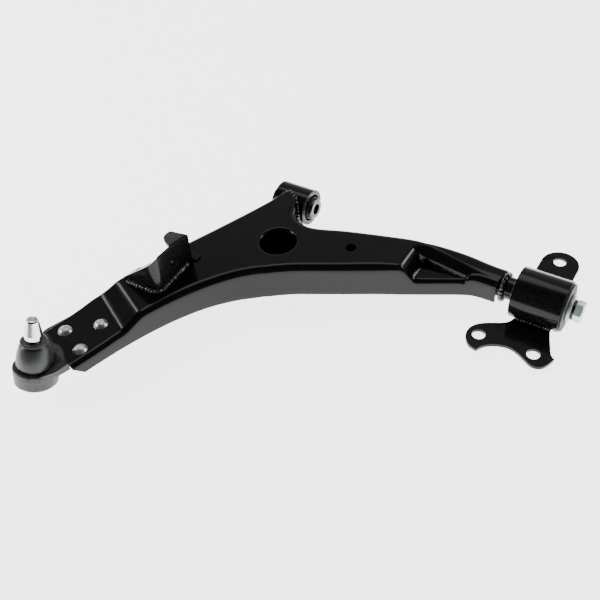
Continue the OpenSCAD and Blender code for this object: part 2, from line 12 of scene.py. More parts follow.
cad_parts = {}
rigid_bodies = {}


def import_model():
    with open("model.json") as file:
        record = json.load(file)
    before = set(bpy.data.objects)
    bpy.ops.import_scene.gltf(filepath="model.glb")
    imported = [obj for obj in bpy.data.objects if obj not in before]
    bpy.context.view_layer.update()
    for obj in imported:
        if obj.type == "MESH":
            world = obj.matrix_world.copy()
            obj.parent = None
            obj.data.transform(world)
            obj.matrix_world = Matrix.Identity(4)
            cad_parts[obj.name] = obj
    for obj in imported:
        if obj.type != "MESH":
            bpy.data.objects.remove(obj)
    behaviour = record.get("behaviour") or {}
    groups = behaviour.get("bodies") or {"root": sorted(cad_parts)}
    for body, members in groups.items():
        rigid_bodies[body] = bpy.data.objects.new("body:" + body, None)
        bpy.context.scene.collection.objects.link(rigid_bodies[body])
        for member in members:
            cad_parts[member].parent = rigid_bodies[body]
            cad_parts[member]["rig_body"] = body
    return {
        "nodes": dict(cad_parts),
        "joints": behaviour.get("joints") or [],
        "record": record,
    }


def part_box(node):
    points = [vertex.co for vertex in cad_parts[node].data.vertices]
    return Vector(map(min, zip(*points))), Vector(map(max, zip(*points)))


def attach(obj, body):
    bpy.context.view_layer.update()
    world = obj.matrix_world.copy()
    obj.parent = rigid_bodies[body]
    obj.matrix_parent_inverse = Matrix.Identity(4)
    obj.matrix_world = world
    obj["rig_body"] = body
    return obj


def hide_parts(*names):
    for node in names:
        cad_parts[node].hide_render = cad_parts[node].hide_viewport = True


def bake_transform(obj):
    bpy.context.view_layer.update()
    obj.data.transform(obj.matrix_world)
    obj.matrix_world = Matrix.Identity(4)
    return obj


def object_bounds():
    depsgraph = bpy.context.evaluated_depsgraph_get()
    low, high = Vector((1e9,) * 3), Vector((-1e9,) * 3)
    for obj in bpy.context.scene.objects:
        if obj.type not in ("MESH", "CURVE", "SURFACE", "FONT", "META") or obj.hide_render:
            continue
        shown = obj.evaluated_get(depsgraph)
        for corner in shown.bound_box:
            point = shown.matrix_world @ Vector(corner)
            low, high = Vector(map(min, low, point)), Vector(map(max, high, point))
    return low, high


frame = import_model()
CAD_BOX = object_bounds()
NODES = frame["nodes"]
RECORD = frame["record"]
MM = 0.001

# ---------------------------------------------------------------- places read from the frame


def corners(node):
    """The lowest and highest corner of a CAD node as arrays."""
    low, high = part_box(node)
    return np.array(low), np.array(high)


def middle(node):
    """The centre of a CAD node's box."""
    low, high = corners(node)
    return (low + high) / 2


def joint(name):
    """The place and axis of one of the record's joints."""
    j = next(j for j in frame["joints"] if j["name"] == name)
    return np.array(j["pos_m"], float), np.array(j["axis"], float)


EYE_LOW, EYE_HIGH = corners("front_eye_tube")
EYE_R = (EYE_HIGH[2] - EYE_LOW[2]) / 2
SHELL_HIGH = corners("upper_shell")[1]
TOP_Z = SHELL_HIGH[2]
ARM_END = SHELL_HIGH[0]
SHAFT = middle("rear_bush_housing")
SHAFT_LOW, SHAFT_HIGH = corners("rear_shaft")
SHAFT_R = (SHAFT_HIGH[2] - SHAFT_LOW[2]) / 2
HOUSING_LOW, HOUSING_HIGH = corners("rear_bush_housing")
HOUSING_R = (HOUSING_HIGH[2] - HOUSING_LOW[2]) / 2
BALL, STUD_AXIS = joint("stud_spin")
SHEET = 2.5 * MM
SEAT_DROP = 9 * MM
POCKET_DROP = 19 * MM
RIDGE_R = SHAFT_R + SHEET
SHELL_SEAT = TOP_Z - SEAT_DROP

# ---------------------------------------------------------------- grids into meshes


def finish_piece(name, points, faces, body, slot, stands_for=(), sharp=35):
    """Puts points and faces into a mesh, turns it outwards by the sign of its volume, and gives it
    its body, its finish and the CAD nodes it stands for."""
    points = np.asarray(points, float).reshape(-1, 3)
    mesh = bpy.data.meshes.new(name)
    mesh.from_pydata(points.tolist(), [], [list(map(int, f)) for f in faces])
    mesh.validate()
    bm = bmesh.new()
    bm.from_mesh(mesh)
    bmesh.ops.remove_doubles(bm, verts=bm.verts, dist=1e-6)
    if bm.calc_volume(signed=True) < 0:
        bmesh.ops.reverse_faces(bm, faces=bm.faces)
    bm.to_mesh(mesh)
    bm.free()
    return place_mesh(name, mesh, body, slot, stands_for, sharp)


def place_mesh(name, mesh, body, slot, stands_for=(), sharp=35):
    """Gives a finished mesh an object, smooth shading up to a sharp angle, a body and a finish."""
    mesh.polygons.foreach_set("use_smooth", np.ones(len(mesh.polygons), bool))
    mesh.set_sharp_from_angle(angle=math.radians(sharp))
    mesh.update()
    obj = bpy.data.objects.new(name, mesh)
    bpy.context.scene.collection.objects.link(obj)
    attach(obj, body)
    if slot:
        mesh.materials.clear()
        mesh.materials.append(FINISH[slot]())
    if stands_for:
        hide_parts(*stands_for)
    return obj


def grid_faces(m, n, wrap_m, wrap_n, start=0):
    """Quads joining an m by n grid of points, wrapped round along either side if asked."""
    i = np.arange(m if wrap_m else m - 1)
    j = np.arange(n if wrap_n else n - 1)
    ii, jj = np.meshgrid(i, j, indexing="ij")
    a = ii * n + jj
    b = ((ii + 1) % m) * n + jj
    c = ((ii + 1) % m) * n + (jj + 1) % n
    d = ii * n + (jj + 1) % n
    return (np.stack([a, b, c, d], -1).reshape(-1, 4) + start).tolist()


def turned(name, profile, body, slot, centre, axis, steps=96, stands_for=(), sharp=35, wobble=None):
    """A closed profile of (radius, height) pairs carried once round an axis. wobble(angle, height)
    adds to the radius."""
    profile = np.asarray(profile, float)
    angle = np.linspace(0, 2 * math.pi, steps, endpoint=False)
    across, up_side = frame_of(axis)
    r = profile[None, :, 0] + (0 if wobble is None else wobble(angle[:, None], profile[None, :, 1]))
    spoke = np.cos(angle)[:, None] * across + np.sin(angle)[:, None] * up_side
    pts = centre + r[..., None] * spoke[:, None, :] + profile[None, :, 1, None] * unit(axis)
    return finish_piece(name, pts, grid_faces(steps, len(profile), True, True), body, slot,
                        stands_for, sharp)


def unit(v):
    """A vector at length one."""
    v = np.asarray(v, float)
    return v / np.linalg.norm(v)


def frame_of(axis):
    """Two directions square to an axis and to each other."""
    axis = unit(axis)
    other = np.array([0, 0, 1.0]) if abs(axis[2]) < 0.8 else np.array([0, 1.0, 0])
    first = unit(np.cross(other, axis))
    return first, np.cross(axis, first)


def arc(cx, cy, r, start, end, steps=8):
    """Points along a circular arc, angles in degrees."""
    t = np.radians(np.linspace(start, end, steps))
    return np.stack([cx + r * np.cos(t), cy + r * np.sin(t)], -1).tolist()


def smooth_path(points, steps):
    """A Catmull-Rom curve through points, sampled evenly in its parameter."""
    p = np.asarray(points, float)
    p = np.vstack([2 * p[0] - p[1], p, 2 * p[-1] - p[-2]])
    u = np.linspace(0, len(p) - 3 - 1e-9, steps)
    i = u.astype(int)
    t = (u - i)[:, None]
    a, b, c, d = p[i], p[i + 1], p[i + 2], p[i + 3]
    return 0.5 * (2 * b + (c - a) * t + (2 * a - 5 * b + 4 * c - d) * t**2
                  + (3 * b - a - 3 * c + d) * t**3)


def hash_wave(t, seed):
    """A smooth irregular wave between -1 and 1: a sum of sines whose rates don't repeat."""
    rates = np.array([1.0, 1.73, 2.91, 4.37, 6.11])
    phases = np.array([0.3, 2.1, 4.4, 1.2, 5.3]) * (seed + 1.37)
    return sum(np.sin(t * r + f) / (1 + 0.35 * k) for k, (r, f) in enumerate(zip(rates, phases))) / 2.6


def weld_bead(name, path, radius, body, stands_for=(), ripple=3.2 * MM, seed=0):
    """A weld bead: a tube along a path, whose radius swells once for every puddle of metal and
    wanders a little, closed to a point at both ends."""
    path = np.asarray(path, float)
    length = np.linalg.norm(np.diff(path, axis=0), axis=1).sum()
    n = max(24, int(length / (0.45 * MM)))
    p = smooth_path(path, n)
    along = np.concatenate([[0], np.cumsum(np.linalg.norm(np.diff(p, axis=0), axis=1))])
    tangent = np.gradient(p, axis=0)
    tangent /= np.linalg.norm(tangent, axis=1, keepdims=True)
    side = np.cross(tangent, np.array([0.13, 0.21, 0.97]))
    side /= np.linalg.norm(side, axis=1, keepdims=True)
    over = np.cross(side, tangent)
    angle = np.linspace(0, 2 * math.pi, 20, endpoint=False)
    puddle = np.abs(np.sin(along / ripple * math.pi + 0.7 * hash_wave(along / ripple, seed)))
    r = radius * (0.78 + 0.26 * puddle + 0.1 * hash_wave(along / ripple * 0.9, seed + 2))
    end = np.minimum(along, along[-1] - along)
    r = r * np.sqrt(np.clip(end / radius, 0.0004, 1))
    lump = 1 + 0.09 * hash_wave(3 * angle[None, :] + along[:, None] / ripple * 2.3, seed + 4)
    ring = np.cos(angle)[None, :, None] * side[:, None] + np.sin(angle)[None, :, None] * over[:, None]
    pts = p[:, None, :] + (r[:, None] * lump)[..., None] * ring
    faces = grid_faces(n, 20, False, True)
    faces.append(list(range(20)))
    faces.append(list(range((n - 1) * 20, n * 20))[::-1])
    return finish_piece(name, pts, faces, body, "weld_bead", stands_for, 60)


def turn_outwards(mesh):
    """Turns a closed mesh's faces outwards by the sign of its volume."""
    bm = bmesh.new()
    bm.from_mesh(mesh)
    if bm.calc_volume(signed=True) < 0:
        bmesh.ops.reverse_faces(bm, faces=bm.faces)
    bm.to_mesh(mesh)
    bm.free()


def merged_copy(node):
    """A copy of a CAD node's mesh with its loose triangles joined and its flat faces made whole."""
    bm = bmesh.new()
    bm.from_mesh(NODES[node].data)
    bmesh.ops.remove_doubles(bm, verts=bm.verts, dist=2e-6)
    bmesh.ops.dissolve_limit(bm, angle_limit=math.radians(0.4), verts=bm.verts, edges=bm.edges)
    mesh = bpy.data.meshes.new(node + "_soft")
    bm.to_mesh(mesh)
    bm.free()
    return mesh


def softened(node, width, body, slot, angle=32):
    """A CAD node with its sharp edges rounded over by a small bevel, as a pressed or turned part's
    edges are."""
    obj = place_mesh(node + "_soft", merged_copy(node), body, slot, (node,), angle)
    bevel = obj.modifiers.new("rounded edges", "BEVEL")
    bevel.width = width
    bevel.segments = 2
    bevel.limit_method = "ANGLE"
    bevel.angle_limit = math.radians(angle)
    bevel.harden_normals = True
    return obj


# ---------------------------------------------------------------- finishes


def add(tree, kind, **sockets):
    """One shader node with its sockets set or linked."""
    node = tree.nodes.new(kind)
    for key, value in sockets.items():
        if key in ("operation", "data_type"):
            setattr(node, key, value)
            continue
        socket = node.inputs[int(key[1:])] if key[0] == "i" and key[1:].isdigit() else node.inputs[key]
        if isinstance(value, bpy.types.NodeSocket):
            tree.links.new(value, socket)
        else:
            socket.default_value = value
    return node


def group(name, inputs, outputs):
    """An empty shader node group with named number inputs and named outputs."""
    tree = bpy.data.node_groups.new(name, "ShaderNodeTree")
    for key, value in inputs.items():
        socket = tree.interface.new_socket(name=key, in_out="INPUT", socket_type="NodeSocketFloat")
        socket.default_value = value
    for key in outputs:
        tree.interface.new_socket(name=key, in_out="OUTPUT", socket_type="NodeSocketFloat")
    return tree, tree.nodes.new("NodeGroupInput"), tree.nodes.new("NodeGroupOutput")


def noise(tree, at, scale, detail=3.0, rough=0.5):
    """Fine cloudy noise from 0 to 1."""
    return add(tree, "ShaderNodeTexNoise", Vector=at, Scale=scale, Detail=detail, Roughness=rough).outputs[0]


def maths(tree, operation, a, b=0.0):
    """One sum of two numbers."""
    return add(tree, "ShaderNodeMath", operation=operation, i0=a, i1=b).outputs[0]


def spread(tree, value, low, high, to_low=0.0, to_high=1.0):
    """A number carried from one range to another and held inside it."""
    node = add(tree, "ShaderNodeMapRange", Value=value)
    node.inputs["From Min"].default_value = low
    node.inputs["From Max"].default_value = high
    node.inputs["To Min"].default_value = to_low
    node.inputs["To Max"].default_value = to_high
    return node.outputs[0]


def build_surface_group():
    """Orange peel, specks and rubbed patches: a fine height, a speck mask and a wear mask."""
    tree, source, sink = group("surface_grain", {"Peel Scale": 900, "Speck Scale": 1500, "Patch Scale": 60},
                               ["Height", "Specks", "Patches"])
    at = add(tree, "ShaderNodeTexCoord").outputs["Object"]
    peel = noise(tree, at, source.outputs["Peel Scale"], 2.0, 0.45)
    specks = spread(tree, noise(tree, at, source.outputs["Speck Scale"], 1.0, 0.4), 0.70, 0.78)
    patches = spread(tree, noise(tree, at, source.outputs["Patch Scale"], 4.0, 0.6), 0.42, 0.66)
    tree.links.new(peel, sink.inputs["Height"])
    tree.links.new(specks, sink.inputs["Specks"])
    tree.links.new(patches, sink.inputs["Patches"])
    return tree


def build_edge_group():
    """Where an outward edge is: a thin line mask from how far the surface turns nearby."""
    tree, source, sink = group("edge_line", {"Low": 0.52, "High": 0.6}, ["Edge"])
    turn = add(tree, "ShaderNodeNewGeometry").outputs["Pointiness"]
    line = add(tree, "ShaderNodeMapRange", Value=turn)
    tree.links.new(source.outputs["Low"], line.inputs["From Min"])
    tree.links.new(source.outputs["High"], line.inputs["From Max"])
    at = add(tree, "ShaderNodeTexCoord").outputs["Object"]
    broken = spread(tree, noise(tree, at, 350, 3.0, 0.6), 0.35, 0.65)
    tree.links.new(maths(tree, "MULTIPLY", line.outputs[0], broken), sink.inputs["Edge"])
    return tree


def build_lathe_group():
    """Tool marks of a turned face: fine rings along the piece's axis, and a soft band noise."""
    tree, source, sink = group("lathe_marks", {"Scale": 2500}, ["Height", "Tone"])
    at = add(tree, "ShaderNodeTexCoord").outputs["Object"]
    turn = add(tree, "ShaderNodeMapping", Vector=at)
    turn.inputs["Scale"].default_value = (0.05, 0.05, 1.0)
    rings = noise(tree, turn.outputs[0], source.outputs["Scale"], 2.0, 0.6)
    tree.links.new(rings, sink.inputs["Height"])
    tree.links.new(spread(tree, noise(tree, at, 220, 3.0, 0.5), 0.3, 0.7), sink.inputs["Tone"])
    return tree


GROUPS = {}


def placed(tree, name, builder, **values):
    """One of the shared groups placed in a material with its own values."""
    if name not in GROUPS:
        GROUPS[name] = builder()
    node = tree.nodes.new("ShaderNodeGroup")
    node.node_tree = GROUPS[name]
    for key, value in values.items():
        node.inputs[key.replace("_", " ")].default_value = value
    return node


def mix_colour(tree, mask, first, second):
    """A colour that goes from the first to the second with a mask."""
    node = add(tree, "ShaderNodeMix", data_type="RGBA")
    tree.links.new(mask, node.inputs[0])
    for socket, value in ((node.inputs[6], first), (node.inputs[7], second)):
        if isinstance(value, bpy.types.NodeSocket):
            tree.links.new(value, socket)
        else:
            socket.default_value = (*value, 1.0)
    return node.outputs[2]


def material(name):
    """A new material, its node tree and its Principled shader."""
    mat = bpy.data.materials.new(name)
    mat.use_nodes = True
    tree = mat.node_tree
    return mat, tree, tree.nodes["Principled BSDF"]


def bump(tree, shader, height, strength, distance):
    """A height carried into the shader's normal."""
    node = add(tree, "ShaderNodeBump", Height=height, Strength=strength, Distance=distance)
    tree.links.new(node.outputs[0], shader.inputs["Normal"])


SPECK_LIFT = 1.9
PATCH_DULLING = 1.35
COAT_ROUGH = 0.06
PAINT_SPECULAR = 0.16


def gloss_black(name, base, worn, rough, coat, peel_depth, peel_strength):
    """Gloss black stoved paint: near-black colour with faint lighter specks, a clear coat with
    orange peel, and a thin greyish line where an edge is rubbed."""
    mat, tree, shader = material(name)
    grain = placed(tree, "surface_grain", build_surface_group, Peel_Scale=420, Patch_Scale=45)
    edge = placed(tree, "edge_line", build_edge_group)
    speck = mix_colour(tree, grain.outputs["Specks"], base, [c * SPECK_LIFT for c in base])
    rubbed = mix_colour(tree, edge.outputs["Edge"], speck, worn)
    tree.links.new(rubbed, shader.inputs["Base Color"])
    tree.links.new(spread(tree, grain.outputs["Patches"], 0, 1, rough, rough * PATCH_DULLING),
                   shader.inputs["Roughness"])
    shader.inputs["Coat Weight"].default_value = coat
    shader.inputs["Coat Roughness"].default_value = COAT_ROUGH
    shader.inputs["Specular IOR Level"].default_value = PAINT_SPECULAR
    bump(tree, shader, grain.outputs["Height"], peel_strength, peel_depth)
    return mat


def finish_arm_paint():
    return gloss_black("arm_paint", [0.0035, 0.0036, 0.0031], [0.02, 0.021, 0.019], rough=0.16, coat=0.12,
                       peel_depth=0.00005, peel_strength=0.07)


def finish_weld_bead():
    return gloss_black("weld_bead", [0.006, 0.006, 0.006], [0.05, 0.05, 0.05], rough=0.1, coat=1.0,
                       peel_depth=0.0009, peel_strength=0.7)


def finish_bush_rubber():
    mat, tree, shader = material("bush_rubber")
    grain = placed(tree, "surface_grain", build_surface_group, Peel_Scale=1400, Patch_Scale=90)
    tree.links.new(mix_colour(tree, grain.outputs["Patches"], [0.010, 0.010, 0.010], [0.022, 0.022, 0.021]),
                   shader.inputs["Base Color"])
    tree.links.new(spread(tree, grain.outputs["Height"], 0.3, 0.7, 0.5, 0.72), shader.inputs["Roughness"])
    bump(tree, shader, grain.outputs["Height"], 0.3, 0.0001)
    return mat


def finish_boot_rubber():
    mat, tree, shader = material("boot_rubber")
    grain = placed(tree, "surface_grain", build_surface_group, Peel_Scale=1800, Patch_Scale=70)
    tone = mix_colour(tree, grain.outputs["Patches"], [0.0085, 0.0105, 0.0105], [0.015, 0.018, 0.018])
    tree.links.new(mix_colour(tree, grain.outputs["Specks"], tone, [0.05, 0.055, 0.055]),
                   shader.inputs["Base Color"])
    tree.links.new(spread(tree, grain.outputs["Height"], 0.3, 0.7, 0.3, 0.44), shader.inputs["Roughness"])
    shader.inputs["Sheen Weight"].default_value = 0.12
    bump(tree, shader, grain.outputs["Height"], 0.2, 0.00006)
    return mat


def bare_metal(name, dark, light, rough, marks, stain=0.0, metallic=1.0):
    """Bare or plated metal: turning marks in its height, a slow change of tone, and optional stain."""
    mat, tree, shader = material(name)
    lathe = placed(tree, "lathe_marks", build_lathe_group, Scale=marks)
    grain = placed(tree, "surface_grain", build_surface_group, Peel_Scale=900, Patch_Scale=160)
    tone = mix_colour(tree, lathe.outputs["Tone"], dark, light)
    mask = maths(tree, "MULTIPLY", grain.outputs["Patches"], stain)
    tree.links.new(mix_colour(tree, mask, tone, [c * 0.35 for c in dark]), shader.inputs["Base Color"])
    shader.inputs["Metallic"].default_value = metallic
    tree.links.new(spread(tree, lathe.outputs["Height"], 0.3, 0.7, rough * 0.75, rough * 1.3),
                   shader.inputs["Roughness"])
    bump(tree, shader, lathe.outputs["Height"], 0.22, 0.00003)
    return mat


def finish_sleeve_steel():
    return bare_metal("sleeve_steel", [0.10, 0.10, 0.098], [0.2, 0.2, 0.195], 0.34, 1800, 0.6)


def finish_zinc():
    return bare_metal("zinc", [0.60, 0.72, 0.70], [0.78, 0.87, 0.84], 0.42, 900, 0.1, 0.55)


def finish_dark_steel():
    return bare_metal("dark_steel", [0.03, 0.03, 0.03], [0.07, 0.07, 0.07], 0.32, 1200, 0.3)


def finish_forging():
    mat, tree, shader = material("forging")
    grain = placed(tree, "surface_grain", build_surface_group, Peel_Scale=700, Patch_Scale=110)
    edge = placed(tree, "edge_line", build_edge_group)
    tone = mix_colour(tree, grain.outputs["Patches"], [0.018, 0.0195, 0.0175], [0.034, 0.037, 0.033])
    tree.links.new(mix_colour(tree, edge.outputs["Edge"], tone, [0.09, 0.09, 0.085]),
                   shader.inputs["Base Color"])
    shader.inputs["Metallic"].default_value = 0.25
    tree.links.new(spread(tree, grain.outputs["Height"], 0.3, 0.7, 0.36, 0.52), shader.inputs["Roughness"])
    bump(tree, shader, grain.outputs["Height"], 0.35, 0.00015)
    return mat


def finish_stud_steel():
    return bare_metal("stud_steel", [0.62, 0.64, 0.66], [0.78, 0.79, 0.8], 0.16, 3200, 0.05)


def finish_bearing_resin():
    mat, tree, shader = material("bearing_resin")
    grain = placed(tree, "surface_grain", build_surface_group, Peel_Scale=600, Patch_Scale=120)
    tree.links.new(mix_colour(tree, grain.outputs["Patches"], [0.62, 0.6, 0.52], [0.74, 0.72, 0.64]),
                   shader.inputs["Base Color"])
    shader.inputs["Roughness"].default_value = 0.45
    bump(tree, shader, grain.outputs["Height"], 0.1, 0.00005)
    return mat


def finish_rivet_steel():
    return bare_metal("rivet_steel", [0.5, 0.5, 0.47], [0.72, 0.72, 0.68], 0.34, 700, 0.35)


MADE = {}


def once(name, maker):
    """Builds a finish the first time it is asked for."""
    def get():
        if name not in MADE:
            MADE[name] = maker()
        return MADE[name]
    return get


FINISH = {slot: once(slot, maker) for slot, maker in {
    "arm_paint": finish_arm_paint, "weld_bead": finish_weld_bead, "bush_rubber": finish_bush_rubber,
    "boot_rubber": finish_boot_rubber, "sleeve_steel": finish_sleeve_steel, "zinc": finish_zinc,
    "dark_steel": finish_dark_steel, "forging": finish_forging, "stud_steel": finish_stud_steel,
    "bearing_resin": finish_bearing_resin, "rivet_steel": finish_rivet_steel}.items()}

for part in RECORD["subparts"]:
    node = NODES[part["node"]]
    for slot_index in range(max(1, len(node.material_slots))):
        if not node.material_slots:
            node.data.materials.append(FINISH[part["material_slot"]]())
        node.material_slots[slot_index].material = FINISH[part["material_slot"]]()

# ---------------------------------------------------------------- the upper pressing

# The outline in pairs of points from the ball joint end to the rear end, in millimetres:
# near x, near y, far x, far y, near foot z, far foot z, near bend radius, far bend radius
STATIONS = np.array([
    [-56, -311, -112, -288, -5, 8.8, 6, 2.0],
    [-47, -281, -103, -254, -5, 8.8, 6, 2.0],
    [-40, -255, -99, -227, -7, 2, 6, 4],
    [-31, -228, -90, -207, -9, -9, 7, 6],
    [-19, -200, -78, -173, -11, -11, 8, 8],
    [-3, -172, -61, -131, -13, -13, 8, 8],
    [14, -149, -44, -92, -16, -16, 8, 8],
    [28, -135, -28, -56, -18, -18, 8, 7],
    [37, -128, -16, -29, -18, -18, 8, 5],
    [42, -125, -11, -16, -18, -18, 8, 3.1],
    [46, -122, -3, -7, -18, -18, 8, 3.1],
    [50, -119, 8, -13, -18, -18, 8, 3.1],
    [55, -116, 15, -24, -18, -18, 8, 5],
    [61, -112, 22, -35, -18, -18, 8, 7],
    [70, -107, 33, -42, -18, -18, 8, 8],
    [82, -101, 50, -44, -18, -18, 8, 8],
    [106, -89, 84, -32.5, -18, -18, 8, 8],
    [138, -72.5, 128, -20, -18, -18, 8, 8],
    [166, -59, 160, -12, -18, -18, 6, 8],
    [191, -46.5, 186, -6, -18, -18, 5, 8],
    [213, -35.5, 210, -2, -18, -18, 5, 8],
    [228, -30, 230, -1, -18, -18, 7, 9],
    [249, -29, 252, -1, -18, -18, 8, 9]], float)


def ease(t):
    """Goes from 0 to 1 with no slope at either end."""
    t = np.clip(t, 0, 1)
    return t * t * (3 - 2 * t)


STEP_FROM_BALL = 84 * MM
STEP_LENGTH = 30 * MM
POCKET_LENGTH = 119 * MM
POCKET_RAMP = 16 * MM
FALL_LENGTH = 145 * MM
FALL_RAMP = 100 * MM


def top_height(x, y):
    """Height of the top face: flat, stepped down to the ball joint's seat, falling to a half-round
    ridge over the shaft, with a flat pocket beside the ridge. The bends at the step and round the
    pocket are eased."""
    seat = 1 - ease(((x - BALL[0]) * 0.464 + (y - BALL[1]) * 0.886 - STEP_FROM_BALL) / STEP_LENGTH)
    round_part = np.clip((SHAFT[1] - y) / (RIDGE_R - 1 * MM), 0, 1)
    ridge = np.sqrt(np.clip(1 - round_part**2, 0, 1))
    foot = ease((0.34 - ridge) / 0.34)
    ridge = ridge * (1 - foot) + ridge**2 / 0.34 * foot
    front = ease((SHAFT[0] - POCKET_LENGTH - x) / POCKET_RAMP)
    raised = 1 - (1 - front) * (1 - ridge)
    crest = TOP_Z - (TOP_Z - (SHAFT[2] + RIDGE_R)) * ease((x - (SHAFT[0] - FALL_LENGTH)) / FALL_RAMP)
    pocket = TOP_Z - POCKET_DROP
    return pocket + (crest - pocket) * raised - SEAT_DROP * seat


def shell_grid(sections, inset):
    """One skin of the pressing: foot, wall, bend, top, bend, wall, foot at each section, moved in by
    the inset."""
    rows = smooth_path(STATIONS, sections)
    rows[:, 4:6] = np.minimum(rows[:, 4:6], 8.8)
    rows *= MM
    near, far = rows[:, 0:2], rows[:, 2:4]

    def inward(edge, sign):
        d = np.gradient(edge, axis=0)
        d /= np.linalg.norm(d, axis=1, keepdims=True)
        return np.stack([-sign * d[:, 1], sign * d[:, 0]], -1)

    near_in, far_in = inward(near, 1), inward(far, -1)
    near_r, far_r = rows[:, 6], rows[:, 7]
    a, b = near + near_in * near_r[:, None], far + far_in * far_r[:, None]

    def wall(edge, into, foot, r, head):
        inner_r = np.maximum(r - inset, 0.15 * MM)
        drop = np.linspace(0, 1, 6)[None, :, None]
        low = np.stack([edge[:, 0], edge[:, 1], foot], -1)[:, None, :]
        high = np.stack([edge[:, 0], edge[:, 1], head - r], -1)[:, None, :]
        shift = np.concatenate([into * (r - inner_r)[:, None], np.zeros((len(r), 1))], 1)[:, None, :]
        straight = low + (high - low) * drop + shift
        t = np.radians(np.linspace(0, 90, 12))[1:]
        d = r[:, None] - inner_r[:, None] * np.cos(t)[None]
        z = (head - r)[:, None] + inner_r[:, None] * np.sin(t)[None]
        xy = edge[:, None, :] + into[:, None, :] * d[..., None]
        return np.concatenate([straight, np.concatenate([xy, z[..., None]], -1)], 1)

    first = wall(near, near_in, rows[:, 4], near_r, top_height(a[:, 0], a[:, 1]))
    last = wall(far, far_in, rows[:, 5], far_r, top_height(b[:, 0], b[:, 1]))
    w = np.linspace(0, 1, 72)[1:-1][None, :, None]
    flat = a[:, None, :] * (1 - w) + b[:, None, :] * w
    z = top_height(flat[..., 0], flat[..., 1]) - inset
    return np.concatenate([first, np.concatenate([flat, z[..., None]], -1), last[:, ::-1]], 1)


def cut_away(mesh, cutters):
    """The mesh with each cutter's volume taken out of it."""
    obj = bpy.data.objects.new("cut", mesh)
    bpy.context.scene.collection.objects.link(obj)
    for cutter in cutters:
        step = obj.modifiers.new("cut", "BOOLEAN")
        step.object = cutter
        step.operation = "DIFFERENCE"
        step.solver = "EXACT"
    bpy.context.view_layer.update()
    result = bpy.data.meshes.new_from_object(obj.evaluated_get(bpy.context.evaluated_depsgraph_get()))
    for spare in [obj, *cutters]:
        bpy.data.objects.remove(spare)
    return result


def drum(centre, axis, radius, half, steps=96):
    """A plain round cutter, closed at both ends."""
    first, second = frame_of(axis)
    t = np.linspace(0, 2 * math.pi, steps, endpoint=False)
    ring = radius * (np.cos(t)[:, None] * first + np.sin(t)[:, None] * second)
    pts = np.vstack([centre - unit(axis) * half + ring, centre + unit(axis) * half + ring])
    faces = grid_faces(2, steps, False, True)
    faces += [list(range(steps)), list(range(2 * steps - 1, steps - 1, -1))]
    mesh = bpy.data.meshes.new("cutter")
    mesh.from_pydata(pts.tolist(), [], faces)
    turn_outwards(mesh)
    obj = bpy.data.objects.new("cutter", mesh)
    bpy.context.scene.collection.objects.link(obj)
    return obj


WEDGE_AT = Vector((-56 * MM, -311 * MM, SHELL_SEAT - 4 * MM))
WEDGE_TURN = math.radians(-25.5)
WEDGE_LEAN = math.radians(40)


def end_wedge():
    """A box leaning back over the near wall's end, from the seat's edge down."""
    spin = (Matrix.Translation(WEDGE_AT) @ Matrix.Rotation(WEDGE_TURN, 4, "Z")
            @ Matrix.Rotation(WEDGE_LEAN, 4, "X"))
    box = bpy.data.meshes.new("cutter")
    bm = bmesh.new()
    bmesh.ops.create_cube(bm, size=1)
    for v in bm.verts:
        v.co = spin @ Vector(((10 + v.co.x * 40) * MM, (-12.5 + v.co.y * 25) * MM, (-25 + v.co.z * 50) * MM))
    bm.to_mesh(box)
    bm.free()
    obj = bpy.data.objects.new("cutter", box)
    bpy.context.scene.collection.objects.link(obj)
    return obj


BIG_HOLE = np.array([29.5 * MM, -82 * MM, TOP_Z])
BIG_R = 18.8 * MM
SMALL_HOLE = np.array([102.5 * MM, -57.5 * MM, TOP_Z])
LIP_R = 3.4 * MM


def upper_pressing():
    """The arm's upper pressing: outer and inner skins joined at their rims, with its holes cut."""
    sections = 330
    outer, inner = shell_grid(sections, 0), shell_grid(sections, SHEET)
    n = outer.shape[1]
    ring = np.concatenate([outer, inner[:, ::-1]], 1)
    faces = grid_faces(sections, 2 * n, False, True)
    strip = np.arange(n - 1)
    cap = np.stack([strip, strip + 1, 2 * n - 2 - strip, 2 * n - 1 - strip], -1)
    faces += cap.tolist()
    faces += (cap[:, ::-1] + (sections - 1) * 2 * n).tolist()
    mesh = bpy.data.meshes.new("upper_pressing")
    mesh.from_pydata(ring.reshape(-1, 3).tolist(), [], faces)
    turn_outwards(mesh)
    up = np.array([0, 0, 1.0])
    mesh = cut_away(mesh, [
        drum(np.zeros(3), np.array([1.0, 0, 0]), EYE_R, 60 * MM, 128),
        drum(BIG_HOLE, up, BIG_R + LIP_R, 9 * MM, 128),
        drum(SMALL_HOLE, up, 5.6 * MM, 9 * MM, 48),
        drum(np.array([BALL[0], BALL[1], 0]), up, 30 * MM, 40 * MM, 128), end_wedge()])
    return place_mesh("upper_pressing", mesh, "arm", "arm_paint", ("upper_shell",), 38)


upper_pressing()
turned("lightening_hole_lip", np.array(
    [[BIG_R + LIP_R, 0]] + arc(BIG_R + LIP_R, -LIP_R, LIP_R, 90, 180, 14)
    + [[BIG_R, -6 * MM], [BIG_R + 1.9 * MM, -6 * MM], [BIG_R + 1.9 * MM, -LIP_R - 0.4 * MM]]
    + arc(BIG_R + LIP_R, -LIP_R - 0.4 * MM, 1.5 * MM, 180, 90, 6)),
    "arm", "arm_paint", BIG_HOLE, np.array([0, 0, 1.0]), 128)

# ---------------------------------------------------------------- welds


